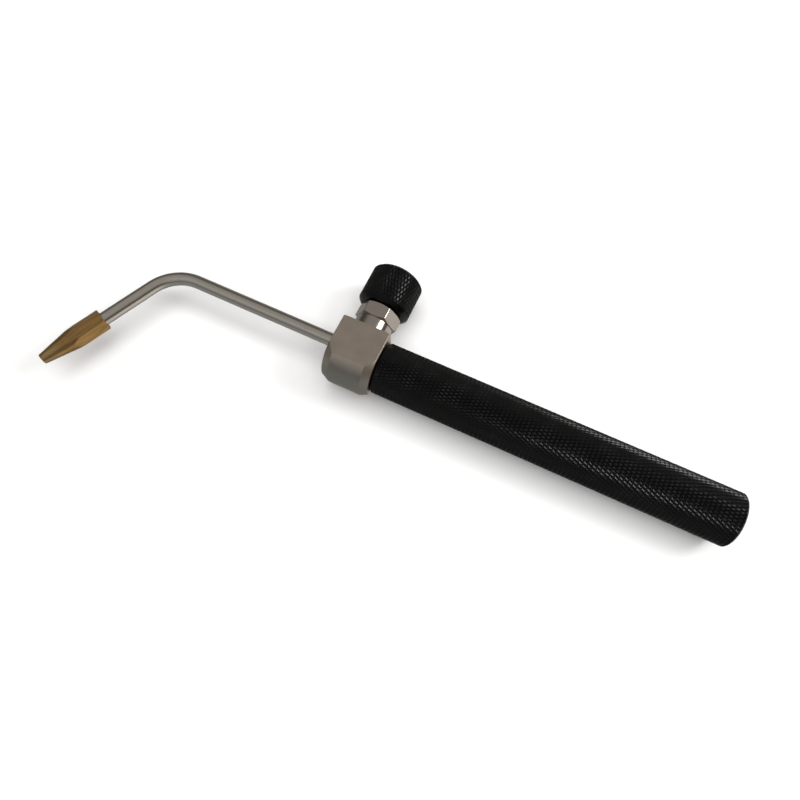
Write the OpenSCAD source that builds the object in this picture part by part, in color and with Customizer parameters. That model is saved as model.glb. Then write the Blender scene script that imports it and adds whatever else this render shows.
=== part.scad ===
// Lampwork hand torch, lying flat.
// X runs along the handle to its rear, Y along the valve stem to the knob, Z is up.
// The origin is on the valve block's lower face, under the crossing of the handle and stem axes.
// Screw threads are plain cylinders with a small clearance.

/* [Handle] */
// Outside diameter of the knurled sleeve
handle_d = 20; // [18:0.5:20]
// Length of the sleeve
handle_len = 134; // [120:1:160]
// Wall thickness of the sleeve
handle_wall = 2; // [1.5:0.1:2]
// Chamfer on the sleeve's two ends
handle_chamfer = 0.7; // [0.3:0.1:1]

/* [Valve block] */
// Width of the block along the handle
block_w = 18.9; // [18.4:0.1:20]
// Distance that the block's middle lies behind the stem axis
block_shift = 0.35; // [0:0.05:0.5]
// Thickness between the two flats
block_t = 22; // [21:0.5:23]
// Height of the block's top face above the handle axis
block_top = 9.5; // [9.5:0.5:11]
// Radius of the rounded end, about the handle axis
round_r = 12.6; // [12:0.1:13]
// Length of the turned chamfers on the rounded end
turned_len = 3; // [2:0.5:3.5]
// Depth of the turned chamfers on the rounded end
turned_depth = 1.5; // [0.5:0.1:1.5]
// Chamfer along the edges of the flats
edge_chamfer = 0.3; // [0.2:0.1:0.8]
// Radius that the top face's corners are turned down to
corner_r = 13.8; // [13.4:0.1:14.2]

/* [Bonnet] */
// Hexagon size across its flats
bonnet_af = 15; // [14:0.5:16]
// Height of the hexagon
bonnet_hex_h = 5.8; // [5:0.2:7]
// Height of the round collar under the hexagon
collar_h = 5.3; // [5:0.1:6]
// Diameter of the round collar
collar_d = 14.8; // [13:0.2:15]
// Thickness of the washer under the collar
bonnet_washer_t = 0.4; // [0.3:0.1:0.6]

/* [Knob] */
// Outside diameter of the knob
knob_d = 21; // [18:0.5:22]
// Length of the knob
knob_len = 15.8; // [14:0.2:18]
// Chamfer at the knob's outer end
knob_top_chamfer = 1.2; // [0.5:0.1:2]
// Chamfer at the knob's inner end
knob_low_chamfer = 1.6; // [0.5:0.1:2]
// Gap under the knob with the valve closed
knob_gap = 0.5; // [0.4:0.1:1]

/* [Neck] */
// Outside diameter of the neck tube
tube_d = 5.2; // [4.8:0.1:5.2]
// Wall thickness of the neck tube
tube_wall = 0.8; // [0.5:0.1:1]
// Height of the neck above the handle axis
neck_offset = 2.4; // [2.2:0.1:2.4]
// Distance from the stem axis to where the neck's two straight lines meet
neck_reach = 82.3; // [60:1:100]
// Angle the neck bends through
bend_angle = 64.7; // [30:0.1:75]
// Radius of the bend at the tube's centre line
bend_r = 17; // [12:1:24]

/* [Nozzle] */
// Distance from the neck's corner to the nozzle's rear face
nozzle_start = 32.6; // [26:0.2:45]
// Hexagon size across its flats
nozzle_af = 8; // [7.5:0.1:8.5]
// Length of the hexagon before the cone starts
nozzle_hex_len = 10.1; // [9:0.1:14]
// Length of the turned cone
nozzle_cone_len = 16.4; // [12:0.1:20]
// Diameter of the nozzle's front face
nozzle_front_d = 4.1; // [3:0.1:5]
// Diameter of the flame orifice
orifice_d = 1.2; // [0.6:0.1:2]
// Angle of the hexagon about the nozzle's axis
nozzle_turn = 15; // [0:5:30]

/* [Valve] */
// Pitch of the stem thread, the lift in one turn
stem_pitch = 1; // [0.5:0.25:1]
// Turns from closed to fully open
stem_turns = 2.5; // [1:0.5:2.5]

/* [Hidden] */

$fn = 64;
// A hair of overlap between the shapes of one piece
eps = 0.01;
// Clearance on a fit
slack = 0.05;

// The handle and stem axes lie half a block above the surface
axis_z = block_t / 2;
// The block's faces before and behind the stem axis
block_front = block_w / 2 - block_shift;
block_rear = block_w / 2 + block_shift;
hex_to_r = 1 / cos(30);
corner_slope_r = 16;
corner_slope_h = 2.2;

// Valve cavities in the block, as heights on the stem axis
inlet_y = -2.8;
inlet_r = 0.8;
seat_floor = -1.2;
seat_top = 0.2;
seat_r = 2.4;
chamber_r = 3.2;
bonnet_bore_y = 5.1;
bonnet_bore_r = 4.5;
outlet_r = 1.5;
tube_socket_x = 5.2;
adapter_bore_r = 4.5;
adapter_bore_x = 4.6;
adapter_mouth_r = 3.7;
adapter_mouth_len = 1.5;

// Bonnet heights
collar_y = block_top + bonnet_washer_t;
hex_y = collar_y + collar_h;
bonnet_top = hex_y + bonnet_hex_h;
stem_bore_r = 3;
gland_r = 2.5;
gland_y = 14;

// Stem heights with the valve closed
stem_lift = stem_pitch * stem_turns;
thread_top = gland_y - slack - stem_lift;
thread_low = 4;
needle_r = 1.2;
needle_y = 1.4;
needle_tip_y = -1.1;
needle_tip_r = 0.3;
groove_y = 15.3;
groove_h = 1.75;
groove_r = 1.45;
ring_wire_r = 0.5;

// Knob
knob_y = bonnet_top + knob_gap;
stem_top = knob_y + 11;
grub_y = knob_y + 5.5;
grub_r = 1.5;
grub_len = 5;
grub_socket_r = 0.87;
grub_socket_depth = 1.6;

// Pieces in the handle, as distances from the stem axis
sleeve_x = block_rear + 0.15;
sleeve_end = sleeve_x + handle_len;
bore_r = handle_d / 2 - handle_wall;
plug_r = bore_r - slack;
adapter_washer_t = 0.5;
adapter_x = block_rear + adapter_washer_t;
adapter_end = 28;
gas_tube_r = 3;
gas_tube_wall = 1;
gas_tube_x = 18.2;
gas_groove_r = gas_tube_r + 1.1;
gas_groove_w = 1.4;
gas_groove_in = 4;
gas_tube_end = sleeve_end - 52;
housing_x = gas_tube_end - 8;
chamber_x = gas_tube_end + 3;
cartridge_r = 5.5;
arrestor_len = 10;
arrestor_washer_t = 1;
arrestor_washer_r = 3.5;
barb_x = chamber_x + arrestor_len + arrestor_washer_t;
housing_end = barb_x + 6;
barb_flange_t = 3;
barb_flange_af = 11;
barb_bore_r = 1.8;
barb_root = housing_end + barb_flange_t;
barb_r = 3.1;
ridge_r = 3.7;
ridge_pitch = 5;
ridge_len = 3.5;
ridges = 4;
sleeve_screw_x = [22, housing_x + 5];
sleeve_screw_floor = bore_r - 2;
sleeve_screw_len = 3.6;

// Inside the nozzle
tube_depth = 7.5;
seal_t = 1;
seal_hole_r = 1.6;
taper_r = 1.5;
taper_len = 8;
nozzle_chamfer = 0.2;

// Turns a shape drawn along Z so that it lies along X, on the handle axis
module along_x(x = 0, y = 0) {
    translate([x, y, axis_z]) rotate([0, 90, 0]) children();
}

// Turns a shape drawn along Z so that it stands along Y, on the stem axis
module along_y(y = 0) {
    translate([0, y, axis_z]) rotate([-90, 0, 0]) children();
}

// A place on the neck's second leg, where Z runs towards the flame
module along_neck(s = 0) {
    translate([-neck_reach, neck_offset, axis_z])
        rotate([0, 0, 180 + bend_angle]) translate([s, 0, 0]) rotate([0, 90, 0]) children();
}

// A round bar or ring from z = 0 to h
module bar(r, h) {
    cylinder(r = r, h = h);
}

module ring(r, hole_r, h) {
    difference() {
        bar(r, h);
        translate([0, 0, -1]) bar(hole_r, h + 2);
    }
}

// A ring of round wire, centred on z = 0
module o_ring(r, wire_r) {
    rotate_extrude() translate([r, 0]) circle(r = wire_r, $fn = 32);
}

// A hexagon bar with turned chamfers on both ends, which start just inside its flats
module chamfered_hex(af, h) {
    corner = af / 2 * hex_to_r;
    face = af * 0.49;
    rise = (corner - face) * tan(30);
    intersection() {
        cylinder(r = corner, h = h, $fn = 6);
        rotate_extrude() polygon([[0, 0], [face, 0], [corner + eps, rise], [corner + eps, h - rise],
            [face, h], [0, h]]);
    }
}

// A headless screw with a hexagon socket in its outer end, from z = 0 to len
module grub_screw(r, len) {
    difference() {
        bar(r, len);
        translate([0, 0, len - grub_socket_depth])
            cylinder(r = grub_socket_r, h = grub_socket_depth + 1, $fn = 6);
    }
}

// Brass flame nozzle: a hexagon that is turned to a cone
module nozzle() {
    len = nozzle_hex_len + nozzle_cone_len;
    corner = nozzle_af / 2 * hex_to_r;
    front_r = nozzle_front_d / 2;
    seal_floor = tube_depth + seal_t;
    color("darkgoldenrod") along_neck(nozzle_start) difference() {
        intersection() {
            rotate([0, 0, nozzle_turn]) cylinder(r = corner, h = len, $fn = 6);
            rotate_extrude() polygon([[0, 0], [corner - nozzle_chamfer, 0],
                [corner + eps, nozzle_chamfer], [corner + eps, nozzle_hex_len],
                [front_r, len], [0, len]]);
        }
        translate([0, 0, -1]) bar(tube_d / 2 + slack, seal_floor + 1);
        translate([0, 0, seal_floor - eps]) cylinder(r1 = taper_r, r2 = orifice_d / 2, h = taper_len);
        translate([0, 0, seal_floor + taper_len - 1]) bar(orifice_d / 2, len);
    }
}

// Soft washer between the end of the neck tube and the nozzle
module nozzle_seal() {
    color("ivory") along_neck(nozzle_start + tube_depth + slack)
        ring(tube_d / 2, seal_hole_r, seal_t - 2 * slack);
}

// The neck's route filled with a round section: a straight leg, a bend and a second straight leg.
// The second leg is a hair thicker, so that the bend ends inside it.
module neck_route(r, start_x, end_s) {
    bend_tangent = bend_r * tan(bend_angle / 2);
    leg_1 = neck_reach - bend_tangent;
    along_x(-leg_1, neck_offset) bar(r, leg_1 - start_x);
    translate([-leg_1, neck_offset - bend_r, axis_z]) rotate([0, 0, 90])
        rotate_extrude(angle = bend_angle) translate([bend_r, 0]) circle(r = r);
    along_neck(bend_tangent - 0.3) bar(r + 0.005, end_s - bend_tangent + 0.3);
}

// Bent neck tube, brazed into the block
module neck_tube() {
    r = tube_d / 2;
    tube_end = nozzle_start + tube_depth;
    color("silver") difference() {
        neck_route(r, tube_socket_x + slack, tube_end);
        neck_route(r - tube_wall, tube_socket_x - 1, tube_end + 1);
    }
}

// Outside of the valve block, centred on the handle axis
module block_outside() {
    low_r = round_r - turned_depth;
    intersection() {
        union() {
            intersection() {
                rotate([0, 90, 0]) rotate_extrude() polygon([[0, -block_front], [low_r, -block_front],
                    [round_r, turned_len - block_front], [round_r, block_rear - turned_len],
                    [low_r, block_rear], [0, block_rear]]);
                translate([-block_w, -2 * round_r, -axis_z]) cube([2 * block_w, 2 * round_r, block_t]);
            }
            translate([-block_front, -eps, -axis_z]) cube([block_w, block_top + eps, block_t]);
        }
        // The flats' long edges are bevelled
        rotate([90, 0, 0]) linear_extrude(4 * round_r, center = true) polygon([
            [-block_front, edge_chamfer - axis_z], [edge_chamfer - block_front, -axis_z],
            [block_rear - edge_chamfer, -axis_z], [block_rear, edge_chamfer - axis_z],
            [block_rear, axis_z - edge_chamfer], [block_rear - edge_chamfer, axis_z],
            [edge_chamfer - block_front, axis_z], [-block_front, axis_z - edge_chamfer]]);
        // The top face's four corners are turned off
        rotate([-90, 0, 0]) rotate_extrude() polygon([[0, -2 * round_r],
            [corner_slope_r, -2 * round_r], [corner_slope_r, block_top - corner_slope_h],
            [corner_r, block_top], [0, block_top]]);
    }
}

// Plated brass valve block with its gas passages
module valve_block() {
    color("darkgray") difference() {
        translate([0, 0, axis_z]) block_outside();
        along_y(inlet_y - inlet_r) bar(inlet_r, seat_top - inlet_y);
        along_y(seat_floor) bar(seat_r, seat_top - seat_floor + eps);
        along_y(seat_top) bar(chamber_r, bonnet_bore_y - seat_top + eps);
        along_y(bonnet_bore_y) bar(bonnet_bore_r, block_top);
        along_x(0, inlet_y) bar(inlet_r, adapter_bore_x + eps);
        along_x(adapter_bore_x) bar(adapter_bore_r, block_rear);
        along_x(-block_front, neck_offset) bar(outlet_r, block_front);
        along_x(-block_front - 1, neck_offset) bar(tube_d / 2 + slack, block_front + 1 - tube_socket_x);
    }
}

// Seat ring that the needle closes on
module valve_seat() {
    color("white") along_y(seat_floor + slack) ring(seat_r - slack, 0.8, seat_top - seat_floor - slack);
}

// Hexagon bonnet: it holds the stem's thread and its gland
module valve_bonnet() {
    color("gainsboro") difference() {
        union() {
            along_y(bonnet_bore_y + slack) bar(bonnet_bore_r - slack, collar_y - bonnet_bore_y);
            along_y(collar_y) bar(collar_d / 2, collar_h + eps);
            along_y(hex_y) chamfered_hex(bonnet_af, bonnet_hex_h);
        }
        along_y(0) bar(stem_bore_r, gland_y);
        along_y(gland_y - eps) bar(gland_r, bonnet_top);
    }
}

// Washer between the bonnet's collar and the block
module bonnet_washer() {
    color("dimgray") along_y(block_top) ring(collar_d / 2 - 0.5, bonnet_bore_r + slack, bonnet_washer_t);
}

// Stem with its needle, its thread and the groove for its ring
module valve_stem() {
    color("lightgray") along_y(0) rotate_extrude() polygon([[0, needle_tip_y], [needle_tip_r, needle_tip_y],
        [needle_r, needle_y], [needle_r, thread_low], [stem_bore_r - slack, thread_low + 1],
        [stem_bore_r - slack, thread_top], [gland_r - slack, thread_top],
        [gland_r - slack, groove_y], [groove_r, groove_y], [groove_r, groove_y + groove_h],
        [gland_r - slack, groove_y + groove_h], [gland_r - slack, stem_top], [0, stem_top]]);
}

// Ring of round wire that seals the stem
module stem_o_ring() {
    ring_r = gland_r - 0.02 - ring_wire_r;
    color("black") along_y(groove_y + groove_h - 0.1 - ring_wire_r) o_ring(ring_r, ring_wire_r);
}

// Flat ring that backs the stem's o-ring
module stem_backup_ring() {
    color("white") along_y(groove_y + slack) ring(gland_r - 0.02, groove_r + slack, 0.5);
}

// Knurled control knob, with a bore for the stem and a hole for its screw
module knob() {
    r = knob_d / 2;
    color("black") difference() {
        along_y(knob_y) rotate_extrude() polygon([[0, 0], [r - knob_low_chamfer, 0], [r, knob_low_chamfer],
            [r, knob_len - knob_top_chamfer], [r - knob_top_chamfer, knob_len], [0, knob_len]]);
        along_y(knob_y - 1) bar(gland_r, stem_top + slack - knob_y + 1);
        translate([0, grub_y, axis_z]) mirror([0, 0, 1]) bar(grub_r + slack, r + 1);
    }
}

// Screw that clamps the knob to the stem
module knob_grub_screw() {
    color("dimgray") translate([0, grub_y, axis_z - gland_r]) mirror([0, 0, 1]) grub_screw(grub_r, grub_len);
}

// Knurled handle sleeve, open at its rear end
module handle_sleeve() {
    r = handle_d / 2;
    color("black") difference() {
        along_x(sleeve_x) rotate_extrude() polygon([[bore_r, 0], [r - handle_chamfer, 0],
            [r, handle_chamfer], [r, handle_len - handle_chamfer], [r - handle_chamfer, handle_len],
            [bore_r, handle_len]]);
        for (x = sleeve_screw_x)
            translate([x, 0, axis_z]) mirror([0, 0, 1]) bar(grub_r + slack, r + 1);
    }
}

// A tapped hole under the handle for one of the sleeve's screws
module sleeve_screw_hole(x) {
    translate([x, 0, axis_z - sleeve_screw_floor]) mirror([0, 0, 1]) bar(grub_r + slack, 4);
}

// Brass adapter that joins the sleeve and the gas tube to the block
module handle_adapter() {
    color("goldenrod") difference() {
        union() {
            along_x(adapter_bore_x + slack) bar(adapter_bore_r - slack, adapter_x - adapter_bore_x);
            along_x(adapter_x) bar(plug_r, adapter_end - adapter_x);
        }
        along_x(0) bar(outlet_r, adapter_end);
        // A counterbore at the front face takes in the off-centre inlet
        along_x(0) bar(adapter_mouth_r, adapter_bore_x + adapter_mouth_len);
        along_x(gas_tube_x - 0.2) bar(gas_tube_r + slack, adapter_end);
        along_x(gas_tube_x + gas_groove_in) bar(gas_groove_r, gas_groove_w);
        sleeve_screw_hole(sleeve_screw_x[0]);
    }
}

// Washer between the adapter and the block
module adapter_washer() {
    color("indianred") along_x(block_rear) ring(bore_r - 0.6, adapter_bore_r + slack, adapter_washer_t);
}

// Inner tube that carries the gas through the handle
module gas_tube() {
    color("silver") along_x(gas_tube_x)
        ring(gas_tube_r, gas_tube_r - gas_tube_wall, gas_tube_end - gas_tube_x - slack);
}

// Rings that seal the two ends of the gas tube
module gas_tube_o_rings() {
    half_groove = gas_groove_w / 2;
    for (x = [gas_tube_x + gas_groove_in + half_groove, gas_tube_end - gas_groove_in + half_groove])
        color("black") along_x(x) o_ring(gas_tube_r + 0.02 + ring_wire_r, ring_wire_r);
}

// Brass housing of the flame arrestor
module arrestor_housing() {
    color("goldenrod") difference() {
        along_x(housing_x) bar(plug_r, housing_end - housing_x);
        along_x(housing_x - 1) bar(gas_tube_r + slack, gas_tube_end - housing_x + 1);
        along_x(gas_tube_end - gas_groove_in) bar(gas_groove_r, gas_groove_w);
        along_x(gas_tube_end - eps) bar(gas_tube_r - gas_tube_wall, chamber_x - gas_tube_end + 1);
        along_x(chamber_x) bar(cartridge_r, housing_end);
        sleeve_screw_hole(sleeve_screw_x[1]);
    }
}

// Sintered plug that stops a flame running back to the hose
module flame_arrestor() {
    color("peru") along_x(chamber_x) bar(cartridge_r - slack, arrestor_len - slack);
}

// Washer between the arrestor and the hose barb
module arrestor_washer() {
    color("indianred") along_x(chamber_x + arrestor_len)
        ring(cartridge_r - slack, arrestor_washer_r, arrestor_washer_t - slack);
}

// Hose barb, screwed into the arrestor housing and set back inside the sleeve
module hose_barb() {
    color("goldenrod") along_x(0) difference() {
        union() {
            translate([0, 0, barb_x]) bar(cartridge_r - slack, housing_end - barb_x);
            translate([0, 0, housing_end]) chamfered_hex(barb_flange_af, barb_flange_t);
            translate([0, 0, barb_root - eps]) bar(barb_r, ridges * ridge_pitch);
            for (i = [1 : ridges])
                translate([0, 0, barb_root + i * ridge_pitch - ridge_len])
                    cylinder(r1 = ridge_r, r2 = barb_r - 0.3, h = ridge_len);
        }
        translate([0, 0, barb_x - 1]) bar(barb_bore_r, 60);
    }
}

// Screws that fix the sleeve to the adapter and to the arrestor housing
module sleeve_screws() {
    for (x = sleeve_screw_x)
        color("dimgray") translate([x, 0, axis_z - sleeve_screw_floor]) mirror([0, 0, 1])
            grub_screw(grub_r, sleeve_screw_len);
}

nozzle();
nozzle_seal();
neck_tube();
valve_block();
valve_seat();
valve_bonnet();
bonnet_washer();
valve_stem();
stem_o_ring();
stem_backup_ring();
knob();
knob_grub_screw();
handle_sleeve();
handle_adapter();
adapter_washer();
gas_tube();
gas_tube_o_rings();
arrestor_housing();
flame_arrestor();
arrestor_washer();
hose_barb();
sleeve_screws();
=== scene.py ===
"""Lampwork hand torch: its finished looks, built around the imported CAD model.

X runs along the handle to its rear, Y along the valve stem to the knob, Z is up, in metres.
"""

import math

import bmesh
import bpy
from bpy.props import FloatProperty, FloatVectorProperty, IntProperty, PointerProperty
from mathutils import Matrix, Vector


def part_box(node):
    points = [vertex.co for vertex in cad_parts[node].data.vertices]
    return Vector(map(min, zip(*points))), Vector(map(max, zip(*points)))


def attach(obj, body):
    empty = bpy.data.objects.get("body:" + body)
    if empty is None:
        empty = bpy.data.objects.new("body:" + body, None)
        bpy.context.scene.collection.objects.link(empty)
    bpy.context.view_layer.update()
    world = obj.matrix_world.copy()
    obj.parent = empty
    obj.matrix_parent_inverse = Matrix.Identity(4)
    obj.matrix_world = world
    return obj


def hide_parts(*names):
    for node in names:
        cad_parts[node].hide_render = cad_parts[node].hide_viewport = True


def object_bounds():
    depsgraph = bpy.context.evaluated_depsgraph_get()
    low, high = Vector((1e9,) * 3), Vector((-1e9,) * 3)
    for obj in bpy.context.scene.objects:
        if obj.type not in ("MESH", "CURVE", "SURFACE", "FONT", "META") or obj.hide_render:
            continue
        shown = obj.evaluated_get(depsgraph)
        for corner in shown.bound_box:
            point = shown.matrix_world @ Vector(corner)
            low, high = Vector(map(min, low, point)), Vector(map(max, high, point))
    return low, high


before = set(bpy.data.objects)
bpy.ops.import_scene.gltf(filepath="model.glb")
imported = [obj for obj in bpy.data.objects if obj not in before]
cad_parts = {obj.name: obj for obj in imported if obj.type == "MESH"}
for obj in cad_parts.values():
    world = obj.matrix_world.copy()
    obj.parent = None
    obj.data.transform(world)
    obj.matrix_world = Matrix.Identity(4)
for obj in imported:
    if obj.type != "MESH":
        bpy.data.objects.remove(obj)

bl_info = {
    "name": "Lampwork hand torch",
    "version": (1, 0, 0),
    "blender": (4, 5, 0),
    "location": "View3D > Sidebar > Torch",
    "description": "Builds a lampwork hand torch piece by piece, with its finishes and its stage",
    "category": "Object",
}

CAD_LOW, CAD_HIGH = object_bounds()
MM = 0.001
# Spacing of a lathe's tool rings
TOOL_RING = 0.18 * MM
SCREW_BORE = 1.55 * MM
# Room between the neck tube and its sockets
TUBE_FIT = 0.05 * MM
# How far a cutter runs past the metal
PAST = 1 * MM

# The CAD pieces' boxes, which the sizes start from
BLOCK_LOW, BLOCK_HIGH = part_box("valve_block")
SLEEVE_LOW, SLEEVE_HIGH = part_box("handle_sleeve")
KNOB_LOW, KNOB_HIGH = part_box("knob")
BONNET_LOW, BONNET_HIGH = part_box("valve_bonnet")
WASHER_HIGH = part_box("bonnet_washer")[1]
STEM_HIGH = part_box("valve_stem")[1]
BARB_LOW, BARB_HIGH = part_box("hose_barb")
SCREWS_LOW, SCREWS_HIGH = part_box("sleeve_screws")
GRUB_LOW, GRUB_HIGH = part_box("knob_grub_screw")

# The handle's axis runs along X at this height, and the stem's along Y
AXIS_Z = (SLEEVE_LOW.z + SLEEVE_HIGH.z) / 2
ON_HANDLE = Matrix.Translation((0, 0, AXIS_Z)) @ Matrix.Rotation(math.radians(90), 4, "Y")
ON_STEM = Matrix.Translation((0, 0, AXIS_Z)) @ Matrix.Rotation(math.radians(-90), 4, "X")


def length(name, default, description):
    """A length in metres that a user can change."""
    return FloatProperty(
        name=name, description=description, default=default, min=0, unit="LENGTH", precision=5)


def colour(name, default, description):
    """A colour that a user can change."""
    return FloatVectorProperty(
        name=name, description=description, default=default, min=0, max=1, subtype="COLOR")


def angle(name, default, description):
    """An angle that a user can change, given here in degrees."""
    return FloatProperty(
        name=name, description=description, default=math.radians(default), unit="ROTATION")


class TorchSizes(bpy.types.PropertyGroup):
    """Sizes of the torch's visible pieces"""

    knurl_depth: length("Knurl depth", 0.28 * MM, "Depth of the knurled grooves")
    knurl_flank: length("Knurl flank", 0.33 * MM, "Width of the slope from a groove to a crest")
    handle_columns: IntProperty(
        name="Handle columns", description="Diamonds around the handle", default=48, min=12)
    handle_rows: IntProperty(name="Handle rows", description="Diamonds along the handle", default=42, min=4)
    handle_bore: length("Handle bore", 8 * MM, "Inner radius of the handle sleeve")
    handle_chamfer: length("Handle chamfer", 0.7 * MM, "Chamfer on the ends of the sleeve")
    knob_columns: IntProperty(
        name="Knob columns", description="Diamonds around the knob", default=50, min=12)
    knob_rows: IntProperty(name="Knob rows", description="Diamonds along the knob", default=4, min=2)
    knob_inner_chamfer: length("Knob inner chamfer", 1.6 * MM, "Chamfer at the knob's inner end")
    knob_outer_chamfer: length("Knob outer chamfer", 1.2 * MM, "Chamfer at the knob's outer end")
    round_end: length("Round end", 12.6 * MM, "Radius of the block's rounded end")
    turned_length: length("Turned length", 3 * MM, "Length of the turned chamfers on the rounded end")
    turned_depth: length("Turned depth", 1.5 * MM, "Depth of the turned chamfers on the rounded end")
    flat_chamfer: length("Flat chamfer", 0.3 * MM, "Chamfer along the edges of the block's flats")
    worn_edge: length("Worn edge", 0.18 * MM, "Rounding of the edges between machined faces")
    collar_radius: length("Collar radius", 7.4 * MM, "Radius of the round collar under the hexagon")
    collar_height: length("Collar height", 5.3 * MM, "Height of the round collar under the hexagon")
    hexagon_width: length("Hexagon width", 15 * MM, "Size of the bonnet's hexagon across its flats")
    stem_bore: length("Stem bore", 3 * MM, "Radius of the bonnet's bore for the stem's thread")
    gland_bore: length("Gland bore", 2.5 * MM, "Radius of the bonnet's bore for the stem's ring")
    tube_radius: length("Tube radius", 2.6 * MM, "Outer radius of the neck tube")
    tube_wall: length("Tube wall", 0.8 * MM, "Wall thickness of the neck tube")
    neck_offset: length("Neck offset", 2.4 * MM, "Distance from the handle's axis to the neck's")
    neck_reach: length("Neck reach", 82.3 * MM, "Distance from the stem to the corner of the neck's lines")
    bend_radius: length("Bend radius", 17 * MM, "Radius of the neck's bend at the middle of the tube")
    bend_angle: angle("Bend angle", 64.7, "Angle that the neck bends through")
    nozzle_start: length("Nozzle start", 32.6 * MM, "Distance from the neck's corner to the nozzle")
    nozzle_width: length("Nozzle width", 8 * MM, "Size of the nozzle's hexagon across its flats")
    nozzle_flats: length("Nozzle flats", 10.1 * MM, "Length of the nozzle's hexagon before its cone")
    nozzle_cone: length("Nozzle cone", 16.4 * MM, "Length of the nozzle's cone")
    nozzle_front: length("Nozzle front", 2.05 * MM, "Radius of the nozzle's front face")
    nozzle_turn: angle("Nozzle turn", 15, "Angle of the nozzle's hexagon about its axis")
    orifice: length("Orifice", 0.6 * MM, "Radius of the flame orifice")


class TorchColours(bpy.types.PropertyGroup):
    """Colours of the torch's finishes"""

    anodised: colour("Anodised black", (0.0021, 0.0023, 0.0022), "Anodised aluminium of the handle and knob")
    anodised_worn: colour("Worn crests", (0.030, 0.031, 0.030), "Thinned black on the knurl's crests")
    nickel: colour("Satin nickel", (0.60, 0.52, 0.44), "Plating of the valve block")
    nickel_shade: colour("Nickel shade", (0.50, 0.43, 0.365), "Duller patches of the block's plating")
    # Painted shade: a darker, greyer plating colour for the block's turned end, standing in for the shadowed
    # floor that this end mirrors
    nickel_painted_shade: colour("Painted shade nickel", (0.37, 0.36, 0.315), "Painted shade at the block's turned end")
    bright_nickel: colour("Bright nickel", (0.50, 0.465, 0.42), "Plating of the bonnet")
    steel: colour("Stainless steel", (0.70, 0.66, 0.59), "Drawn tube of the neck")
    steel_streak: colour("Steel streak", (0.40, 0.355, 0.32), "Draw lines and heat tint along the tube")
    brass: colour("Aged brass", (0.55, 0.335, 0.125), "Nozzle's metal")
    brass_patina: colour("Brass patina", (0.27, 0.155, 0.058), "Brown tarnish on the nozzle")
    brass_bright: colour("Bright brass", (0.72, 0.52, 0.26), "Rubbed brass near the nozzle's front")
    clean_brass: colour("Clean brass", (0.72, 0.50, 0.20), "Turned brass inside the handle")
    bronze: colour("Sintered bronze", (0.50, 0.30, 0.15), "Grains of the flame arrestor")
    rubber: colour("Rubber", (0.012, 0.012, 0.013), "Sealing rings")
    seal: colour("Soft seal", (0.80, 0.79, 0.74), "White plastic seals")
    fibre: colour("Fibre", (0.30, 0.07, 0.035), "Fibre washers")
    screw: colour("Screw", (0.030, 0.029, 0.028), "Blackened steel screws")
    floor: colour("Floor", (0.93, 0.93, 0.925), "Plain pale floor")


# ---------------------------------------------------------------- materials


class Wire:
    """A value in a node tree. Arithmetic on it adds Math nodes."""

    def __init__(self, tree, socket):
        self.tree = tree
        self.socket = socket

    def math(self, operation, *values):
        """A Math node of that operation."""
        return self.tree.node("ShaderNodeMath", {"operation": operation}, dict(enumerate(values)))

    def __add__(self, other):
        return self.math("ADD", self, other)

    def __sub__(self, other):
        return self.math("SUBTRACT", self, other)

    def __rsub__(self, other):
        return self.math("SUBTRACT", other, self)

    def __mul__(self, other):
        return self.math("MULTIPLY", self, other)

    __radd__ = __add__
    __rmul__ = __mul__

    def between(self, low, high, to_low=0.0, to_high=1.0):
        """The value eased from the range low to high into the range to_low to to_high."""
        return self.tree.node(
            "ShaderNodeMapRange", {"interpolation_type": "SMOOTHSTEP"},
            {"Value": self, "From Min": low, "From Max": high, "To Min": to_low, "To Max": to_high})


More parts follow.
